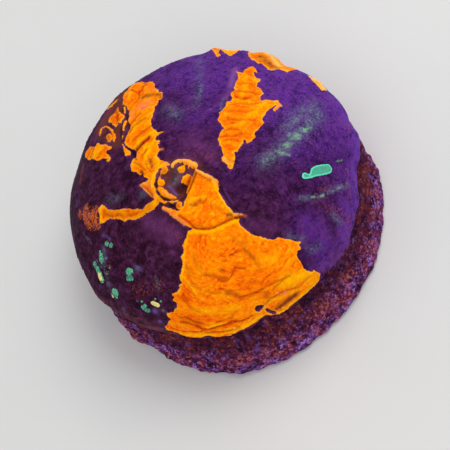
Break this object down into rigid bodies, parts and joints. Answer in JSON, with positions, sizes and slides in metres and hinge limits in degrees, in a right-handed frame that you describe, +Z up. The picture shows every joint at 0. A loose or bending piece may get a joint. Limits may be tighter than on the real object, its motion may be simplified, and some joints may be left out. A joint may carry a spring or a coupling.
{
  "type": "scolymia coral",
  "caption": "Domed scolymia coral with a coiled mouth and ragged orange patches on purple flesh, on its round crusted skeleton, cut flat below.",
  "frame": {"origin": "middle of the flat cut under the skeleton, which rests on the surface", "axes": "+Z up through the polyp, +X and +Y along the surface; the polyp leans towards +X and +Y"},
  "size_m": [0.0778, 0.0798, 0.038],
  "materials": {
    "flesh": "soft fluorescent flesh, purple with orange and teal patches",
    "stone": "rough mottled crust, maroon, purple and pink"
  },
  "bodies": {
    "root": {"polyp": "flesh", "skeleton": "stone"}
  },
  "joints": []
}
